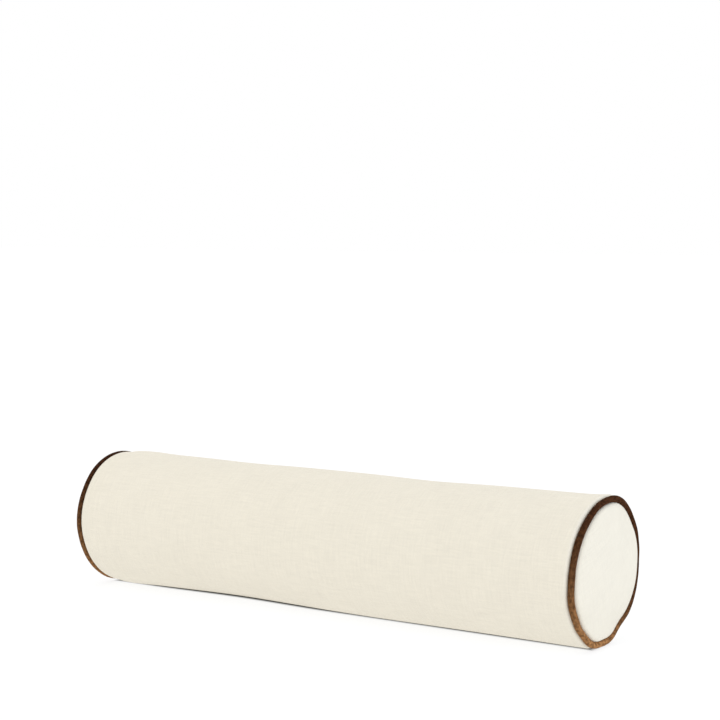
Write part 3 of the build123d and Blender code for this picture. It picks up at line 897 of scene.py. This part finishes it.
class Paint:
    """A material's nodes, with short ways to add to them. Any input may be a number or another node's output."""

    def __init__(self, name):
        self.material = bpy.data.materials.new(name)
        self.material.use_nodes = True
        self.tree = self.material.node_tree
        self.tree.nodes.clear()

    def add(self, kind, *values, output=0, named=None, **settings):
        node = self.tree.nodes.new(kind)
        for key, value in settings.items():
            setattr(node, key, value)
        pairs = list(zip(node.inputs, values)) + [(node.inputs[key], value) for key, value in (named or {}).items()]
        for socket, value in pairs:
            if isinstance(value, bpy.types.NodeSocket):
                self.tree.links.new(value, socket)
            elif value is not None:
                socket.default_value = value
        return node.outputs[output]

    def math(self, operation, *values):
        return self.add("ShaderNodeMath", *values, operation=operation)

    def mul(self, first, second):
        return self.math("MULTIPLY", first, second)

    def mad(self, value, factor, added):
        return self.math("MULTIPLY_ADD", value, factor, added)

    def sine(self, value, period):
        return self.math("SINE", self.mul(value, 2 * math.pi / period))

    def times(self, vector, factors):
        return self.add("ShaderNodeVectorMath", vector, factors, operation="MULTIPLY")

    def split(self, vector):
        return tuple(self.add("ShaderNodeSeparateXYZ", vector).node.outputs)

    def flat(self):
        """The place on the flat cloth, in metres."""
        return self.add("ShaderNodeUVMap", uv_map="cloth")

    def place(self):
        """The place in the row frame, as the piece was made."""
        return self.add("ShaderNodeTexCoord", output=3)

    def noise(self, where, scale, detail=2.0, roughness=0.5):
        return self.add("ShaderNodeTexNoise", named={
            "Vector": where, "Scale": scale, "Detail": detail, "Roughness": roughness
        })

    def ramp(self, value, low, high, first=0.0, last=1.0):
        """A number that goes smoothly from first to last as value goes from low to high."""
        named = {"Value": value, "From Min": low, "From Max": high, "To Min": first, "To Max": last}
        return self.add("ShaderNodeMapRange", named=named, interpolation_type="SMOOTHSTEP")

    def mix(self, share, first, second):
        """A colour between two, whose sockets come after those for numbers and vectors."""
        return self.add("ShaderNodeMix", share, *[None] * 5, first, second, output=2, data_type="RGBA")

    def shade(self, colour, factor):
        """The colour made lighter or darker by a factor."""
        return self.add("ShaderNodeVectorMath", colour, None, None, factor, operation="SCALE")

    def vary(self, colour, value, amount):
        """The colour made lighter and darker, by a share of it, as a value goes from 0 to 1."""
        return self.shade(colour, self.mad(value, amount, 1 - amount / 2))

    def done(self, colour, roughness, height=None, depth=0.0001, strength=1.0, **named):
        shader = {"Base Color": colour, "Roughness": roughness}
        shader.update({key.replace("_", " "): value for key, value in named.items()})
        if height is not None:
            shader["Normal"] = self.add("ShaderNodeBump", named={
                "Strength": strength, "Distance": depth, "Height": height
            })
        surface = self.tree.nodes.new("ShaderNodeOutputMaterial").inputs[0]
        self.tree.links.new(self.add("ShaderNodeBsdfPrincipled", named=shader), surface)
        return self.material


LINEN_PITCH = 0.00072  # of one thread
LINEN_WANDER = 0.35  # how far a thread strays from straight, in pitches
LINEN_STREAK = 0.30  # how much the threads differ in tone
LINEN_SLUB = (0.0028, 0.036)  # width and length of the stretches where threads are thick or thin
LINEN_LIGHT = srgb(237, 231, 216)
LINEN_DARK = srgb(212, 202, 180)


def weave(paint, where):
    """A plain weave on flat cloth: its height from 0 to 1, and 1 where a lengthwise thread is on top."""
    drift = paint.add("ShaderNodeTexNoise", named={"Vector": where, "Scale": 90.0, "Detail": 1.0}, output=1)
    stray = (LINEN_PITCH * LINEN_WANDER * 4,) * 3
    u, v, _ = paint.split(paint.add("ShaderNodeVectorMath", drift, stray, where, operation="MULTIPLY_ADD"))
    wave_u, wave_v = paint.sine(u, 2 * LINEN_PITCH), paint.sine(v, 2 * LINEN_PITCH)
    heights = []
    for wave, other, sign in ((wave_u, wave_v, 1), (wave_v, wave_u, -1)):
        profile = paint.math("POWER", paint.math("ABSOLUTE", wave), 0.5)
        over = paint.mul(paint.mul(paint.math("SIGN", wave), other), 0.38 * sign)
        heights.append(paint.mul(profile, paint.math("ADD", over, 0.62)))
    return paint.math("MAXIMUM", *heights), paint.math("GREATER_THAN", *heights)


def make_linen():
    """Undyed linen: a plain weave with uneven threads and a faint mottle."""
    paint = Paint("linen")
    where = paint.flat()
    height, lengthwise = weave(paint, where)
    warp, weft = (
        paint.noise(paint.times(where, (1 / wide, 1 / long, 1)), 1.0, 3.0, 0.65)
        for wide, long in (LINEN_SLUB, LINEN_SLUB[::-1])
    )
    thread = paint.mix(lengthwise, weft, warp)
    thick = paint.mul(paint.math("ADD", warp, weft), 0.5)
    mottle = paint.noise(where, 16.0, 3.0)
    fleck = paint.ramp(paint.noise(where, 420.0, 2.0), 0.60, 0.78, 0, 0.35)
    colour = paint.mix(paint.ramp(height, 0.15, 0.8), LINEN_DARK, LINEN_LIGHT)
    colour = paint.mix(fleck, colour, paint.shade(colour, 0.86))
    tone = paint.mad(thread, LINEN_STREAK, 1 - LINEN_STREAK / 2)
    tone = paint.mul(tone, paint.mad(mottle, 0.05, 0.975))
    relief = paint.mad(thick, 0.8, height)
    return paint.done(
        paint.shade(colour, tone), 0.88, relief, depth=0.00022, strength=0.55,
        Sheen_Weight=0.08, Sheen_Roughness=0.6, Specular_IOR_Level=0.25,
    )


# Painted shaded colour of the velvet, at the top and back of a ring, and painted lit colour, at its underside and
# front
VELVET_SHADED = srgb(60, 34, 18)
VELVET_LIT = srgb(149, 107, 68)
VELVET_SHEEN = srgb(200, 140, 84)


def make_velvet():
    """Velvet with painted shade and painted sheen: each ring is painted darker at its top and back and lighter at its
    underside and front.
    """
    paint = Paint("velvet")
    where, place = paint.flat(), paint.place()
    pile = paint.noise(place, 2200.0, 2.0, 0.6)
    patch = paint.noise(paint.times(where, (1.0, 0.7, 1.0)), 230.0, 3.0, 0.6)
    across, _, _ = paint.split(where)
    _, y, z = paint.split(place)
    # Painted shade and sheen: this value rises towards the top and back of the ring, and the colour goes from lit to
    # shaded as it rises.
    painted_shading = paint.mad(y, 0.3, paint.math("SUBTRACT", z, AXIS_HEIGHT))
    painted_shading = paint.mad(paint.math("MAXIMUM", y, 0.0), 0.5, painted_shading)
    share = paint.add("ShaderNodeMapRange", named={"Value": painted_shading, "From Min": 0.110, "From Max": -0.110})
    colour = paint.mix(paint.math("POWER", share, 2.6), VELVET_SHADED, VELVET_LIT)
    tone = paint.mad(pile, 0.4, 0.8)
    tone = paint.mul(tone, paint.ramp(patch, 0.3, 0.7, 0.48, 1.46))
    # Painted highlight and shade: one side of the strip's turn round the cord is painted lighter and the other side
    # darker.
    tone = paint.mul(tone, paint.ramp(across, 0.023, 0.036, 0.80, 1.16))
    height = paint.mad(patch, 1.5, pile)
    return paint.done(
        paint.shade(colour, tone), 0.95, height, depth=0.00025, strength=0.8, Sheen_Weight=0.12,
        Sheen_Roughness=0.4, Sheen_Tint=VELVET_SHEEN, Specular_IOR_Level=0.05,
    )


def make_fibre(name, light, dark, scale=1800.0, stretch=(1, 1, 1), roughness=0.8):
    """Spun or loose fibres: fine streaks of two tones."""
    paint = Paint(name)
    where = paint.times(paint.place(), stretch)
    fine = paint.noise(where, scale, 3.0, 0.65)
    soft = paint.noise(where, scale / 12, 2.0)
    colour = paint.mix(paint.ramp(fine, 0.3, 0.7), dark, light)
    colour = paint.vary(colour, soft, 0.12)
    return paint.done(colour, roughness, fine, depth=0.0002, strength=0.7, Sheen_Weight=0.2)


def make_thread(name, light, dark):
    """Twisted sewing thread: slanting plies."""
    paint = Paint(name)
    place = paint.place()
    x, y, z = paint.split(place)
    along = paint.math("ADD", paint.math("ADD", x, y), z)
    ply = paint.sine(along, 0.0006)
    fuzz = paint.noise(place, 4000.0, 2.0)
    colour = paint.mix(paint.ramp(paint.mad(fuzz, 0.8, ply), -0.8, 1.2), dark, light)
    return paint.done(colour, 0.55, ply, depth=0.00006, strength=0.7, Sheen_Weight=0.15)


TICKING_RIB = 0.0011
TICKING_STRIPE = 0.022


def make_ticking():
    """Ticking: a white twill of slanting ribs, with a grey stripe every 22 mm."""
    paint = Paint("ticking")
    where = paint.flat()
    u, v, _ = paint.split(where)
    rib = paint.sine(paint.math("ADD", u, v), TICKING_RIB)
    height = paint.mad(paint.sine(v, TICKING_RIB * 0.6), 0.35, rib)
    uneven = paint.noise(paint.times(where, (900.0, 40.0, 1)), 1.0, 2.0)
    colour = paint.mix(paint.ramp(height, -1.2, 1.0), srgb(212, 210, 202), srgb(242, 241, 236))
    stripe = paint.ramp(paint.math("ABSOLUTE", paint.sine(u, 2 * TICKING_STRIPE)), 0.10, 0.16, 0.8, 0)
    colour = paint.mix(stripe, colour, srgb(196, 198, 202))
    colour = paint.vary(colour, uneven, 0.14)
    return paint.done(colour, 0.85, height, depth=0.00012, strength=0.6, Sheen_Weight=0.1)


def make_tape_cloth():
    """The zip's tape: a herringbone."""
    paint = Paint("zip_tape_cloth")
    where = paint.flat()
    u, v, _ = paint.split(where)
    rib = paint.sine(paint.math("ADD", paint.math("PINGPONG", u, 0.0016), v), 0.0009)
    height = paint.mad(paint.sine(u, 0.0005), 0.4, rib)
    uneven = paint.noise(paint.times(where, (200.0, 900.0, 1)), 1.0, 2.0)
    colour = paint.mix(paint.ramp(height, -1.2, 1.2), srgb(196, 184, 156), srgb(232, 223, 200))
    colour = paint.vary(colour, uneven, 0.12)
    return paint.done(colour, 0.7, height, depth=0.0001, strength=0.7, Sheen_Weight=0.1)


def make_nylon():
    """The coil's plastic wire: smooth, with faint marks from the loom."""
    paint = Paint("zip_coil_nylon")
    place = paint.place()
    scuff = paint.noise(place, 900.0, 3.0)
    colour = paint.mix(paint.ramp(scuff, 0.35, 0.7), srgb(206, 194, 166), srgb(228, 219, 196))
    rough = paint.mad(scuff, 0.25, 0.22)
    return paint.done(colour, rough, scuff, depth=0.00003, strength=0.5, Subsurface_Weight=0.15,
                      Subsurface_Radius=(0.0006, 0.0005, 0.0004))


def make_metal():
    """Satin brass: fine brushing, with duller patches."""
    paint = Paint("zip_brass")
    place = paint.place()
    brushed = paint.noise(paint.times(place, (0.08, 1.0, 1.0)), 5200.0, 3.0, 0.6)
    dull = paint.noise(place, 420.0, 4.0, 0.6)
    colour = paint.mix(paint.ramp(dull, 0.42, 0.72), srgb(196, 162, 104), srgb(142, 112, 70))
    rough = paint.mad(dull, 0.3, paint.mad(brushed, 0.15, 0.12))
    return paint.done(colour, rough, brushed, depth=0.00002, strength=0.4, Metallic=1.0)


def make_satin():
    """A satin ribbon for the blank label, with denser woven edges."""
    paint = Paint("label_satin")
    where = paint.flat()
    u, v, _ = paint.split(where)
    height = paint.mad(paint.sine(v, 0.0012), 0.25, paint.sine(u, 0.00035))
    edge = paint.ramp(paint.math("ABSOLUTE", u), 0.0118, 0.0124)
    colour = paint.mix(edge, srgb(240, 238, 232), srgb(222, 219, 210))
    colour = paint.shade(colour, paint.mad(height, 0.03, 0.97))
    return paint.done(colour, 0.35, height, depth=0.00004, strength=0.5, Anisotropic=0.6)


def make_foam_material():
    """Cut polyurethane foam: open cells of several sizes."""
    paint = Paint("cut_foam")
    place = paint.place()
    cells = paint.add("ShaderNodeTexVoronoi", named={"Vector": place, "Scale": 900.0})
    large = paint.add("ShaderNodeTexVoronoi", named={"Vector": place, "Scale": 330.0})
    pore = paint.ramp(cells, 0.15, 0.55)
    colour = paint.mix(pore, srgb(188, 176, 140), srgb(236, 229, 204))
    colour = paint.shade(colour, paint.ramp(large, 0.1, 0.4, 0.88, 1.0))
    height = paint.math("ADD", pore, paint.ramp(large, 0.05, 0.4))
    return paint.done(colour, 0.9, height, depth=0.0004, strength=0.8)


# The pieces

LINEN_LOOK = make_linen()
VELVET_LOOK = make_velvet()
COTTON_LOOK = make_fibre("cotton_cord", srgb(238, 232, 214), srgb(206, 196, 168), 2200.0)
CREAM_LOOK = make_thread("cream_thread", srgb(240, 232, 208), srgb(206, 194, 162))
WHITE_LOOK = make_thread("white_thread", srgb(246, 245, 240), srgb(212, 209, 200))
TICKING_LOOK = make_ticking()
WADDING_LOOK = make_fibre("wadding", srgb(250, 250, 248), srgb(222, 222, 218), 700.0, (0.25, 1, 1), 0.95)
FOAM_LOOK = make_foam_material()
TAPE_LOOK = make_tape_cloth()
NYLON_LOOK = make_nylon()
METAL_LOOK = make_metal()
SATIN_LOOK = make_satin()


def put(piece, look, node, settled=False):
    """Gives a piece its material and slot and the body that it rides on, and hides the node that it stands for.

    Unless it is settled already, it takes the unevenness of the stuffed pillow.
    """
    if not settled:
        piece.data.vertices.foreach_set("co", lie(vertices(piece)).ravel())
        piece.data.update()
    piece.data.materials.append(look)
    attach(piece, "pillow")
    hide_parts(node)
    return piece


def pair(right, name):
    """A piece of the right end and its mirrored copy, by side."""
    return {"right": right, "left": mirrored(right, name)}


body, body_cut = make_cover_body()
end, end_cut = make_end("cover_end_right", LINEN / 2, LINEN, ALLOWANCE_EDGE, pressure=4.0, cap=0.0006)
ends = pair(end, "cover_end_left")
sleeve, strip_width = make_sleeve("piping_right", seed=11, joint_at=PERIMETER * 0.69)
other_sleeve, _ = make_sleeve("piping_other", seed=14, joint_at=PERIMETER * 0.62)
sleeves = {"right": sleeve, "left": mirrored(other_sleeve, "piping_left")}
bpy.data.objects.remove(other_sleeve)
insert_body, insert_length = make_insert_body()
insert_end, insert_cut = make_end(
    "insert_end_right", NECK_DEPTH + TICKING / 2, TICKING, ALLOWANCE_EDGE - PLAY, pressure=2.0, cap=0.0004
)
insert_ends = pair(insert_end, "insert_end_left")
pads = pair(make_wadding_end(), "wadding_pad_left")

put(body, LINEN_LOOK, "cover_body_panel")
for side, piece in ends.items():
    put(piece, LINEN_LOOK, f"cover_end_panel_{side}")
for side, piece in sleeves.items():
    put(piece, VELVET_LOOK, f"piping_sleeve_{side}")
put(insert_body, TICKING_LOOK, "insert_case_body")
for side, piece in insert_ends.items():
    put(piece, TICKING_LOOK, f"insert_case_end_{side}")

for sign, side in ((1, "right"), (-1, "left")):
    put(make_cord(f"cord_{side}", sign), COTTON_LOOK, f"piping_cord_{side}", settled=True)
    row = ring_stitches(
        f"seam_stitches_{side}", SEAM_X - TURN_RADIUS + LINEN / 2, END_INSET + LINEN + PLAY, sign
    )
    put(row, CREAM_LOOK, f"end_seam_thread_{side}", settled=True)
    row = ring_stitches(f"insert_stitches_{side}", NECK_X + 0.003, END_INSET + LINEN + 0.0006, sign)
    put(row, WHITE_LOOK, f"insert_end_thread_{side}", settled=True)
    row = line_stitches(f"back_seam_stitches_{side}", f"back_seam_thread_{side}", 0.0, -TAPE_DEPTH - 0.0003)
    put(row, CREAM_LOOK, f"back_seam_thread_{side}")
row = line_stitches("insert_closing_stitches", "insert_closing_thread", -0.0205, -ZIP_FLAT + PLAY, HAND_STITCH)
put(row, WHITE_LOOK, "insert_closing_thread")
put(make_topstitch(), CREAM_LOOK, "zip_topstitch")

for side, name in ((1, "upper"), (-1, "lower")):
    tape = put(make_tape(f"zip_band_{name}", side), TAPE_LOOK, f"zip_tape_{name}")
    put(make_coil(f"coil_{name}", side), NYLON_LOOK, f"zip_coil_{name}")
label, label_cut = make_label()
put(label, SATIN_LOOK, "care_label")

put(make_wadding_wrap(), WADDING_LOOK, "wadding_wrap")
for side, piece in pads.items():
    put(piece, WADDING_LOOK, f"wadding_end_{side}")
put(make_foam(), FOAM_LOOK, "foam_core")

for node in ("zip_slider", "zip_pull_tab", "zip_top_stops", "zip_bottom_stop"):
    metal = bpy.data.objects[node]
    metal.data.materials.clear()
    metal.data.materials.append(METAL_LOOK)


# Floor, light and camera

FLOOR_HALF = 30.0
PAINTED_SHADOW_X = 0.448  # how far out along x the floor under the pillow stays dark, as a painted contact shadow
PAINTED_SHADOW_Y = 0.0234
PAINTED_SHADOW_LIFTED = 0.0165  # the same where the underside is drawn in
corners = np.array([(-1, -1, 0), (1, -1, 0), (1, 1, 0), (-1, 1, 0)])
floor = build("floor", FLOOR_HALF * corners, [(0, 1, 2, 3)])
# Painted contact shadow: the floor glows everywhere except in a narrow strip under the pillow, which shows as a dark
# line where the pillow rests.
paint = Paint("floor_white")
tone = paint.noise(paint.place(), 3.0, 2.0)
x, y, _ = paint.split(paint.place())
from_lifted = paint.math("ABSOLUTE", paint.math("ADD", x, 0.19))
painted_shadow_half_width = paint.ramp(from_lifted, 0.0, 0.18, PAINTED_SHADOW_LIFTED, PAINTED_SHADOW_Y)
clear = paint.math(
    "MAXIMUM",
    paint.math("SUBTRACT", paint.math("ABSOLUTE", y), painted_shadow_half_width),
    paint.math("SUBTRACT", paint.math("ABSOLUTE", x), PAINTED_SHADOW_X),
)
paint.done(
    paint.mix(tone, srgb(136, 136, 135), srgb(140, 140, 139)), 0.9,
    Emission_Color=(0.985, 0.99, 1.0, 1.0), Emission_Strength=paint.ramp(clear, -0.006, 0.008, 0.0, 0.79),
    Specular_IOR_Level=0.0,
)
floor.data.materials.append(paint.material)

world = bpy.data.worlds.new("studio")
bpy.context.scene.world = world
world.use_nodes = True
background = world.node_tree.nodes["Background"]
background.inputs["Color"].default_value = (1.0, 1.0, 1.0, 1.0)
background.inputs["Strength"].default_value = 1.0
bpy.context.scene.view_settings.view_transform = "Standard"


def add_light(name, place, target, size, power, colour=(1.0, 1.0, 1.0)):
    """A round soft light that faces a target."""
    light = bpy.data.lights.new(name, "AREA")
    light.shape = "DISK"
    light.size = size
    light.energy = power
    light.color = colour
    lamp = link(name, light)
    lamp.location = place
    lamp.rotation_euler = (Vector(target) - Vector(place)).to_track_quat("-Z", "Y").to_euler()


add_light("key", (-1.6, -2.2, 2.6), (0, 0, 0.1), 1.6, 9.0)
add_light("side", (3.2, -0.2, 0.9), (0.4, 0, 0.1), 1.6, 18.0, (0.52, 0.70, 1.0))

CAMERA_TURN = math.radians(34.367)
CAMERA_RISE = math.radians(10.082)
CAMERA_TILT = math.radians(-0.574)
CAMERA_PAN = math.radians(5.746)
CAMERA_DISTANCE = 2.851
back = Vector((
    math.sin(CAMERA_TURN) * math.cos(CAMERA_RISE),
    -math.cos(CAMERA_TURN) * math.cos(CAMERA_RISE),
    math.sin(CAMERA_RISE),
))
right = Vector((math.cos(CAMERA_TURN), math.sin(CAMERA_TURN), 0))
place_of_camera = Vector((0, 0, AXIS_HEIGHT)) + CAMERA_DISTANCE * back
up = back.cross(right)
tilt = Matrix.Rotation(CAMERA_TILT, 3, up)
pan = Matrix.Rotation(CAMERA_PAN, 3, tilt @ right)
lens = bpy.data.cameras.new("camera")
lens.lens = 90.0
lens.sensor_width = 36.0
camera = link("camera", lens)
turned = Matrix((tilt @ right, pan @ up, pan @ (tilt @ back))).transposed()
camera.matrix_world = Matrix.Translation(place_of_camera) @ turned.to_4x4()
bpy.context.scene.camera = camera
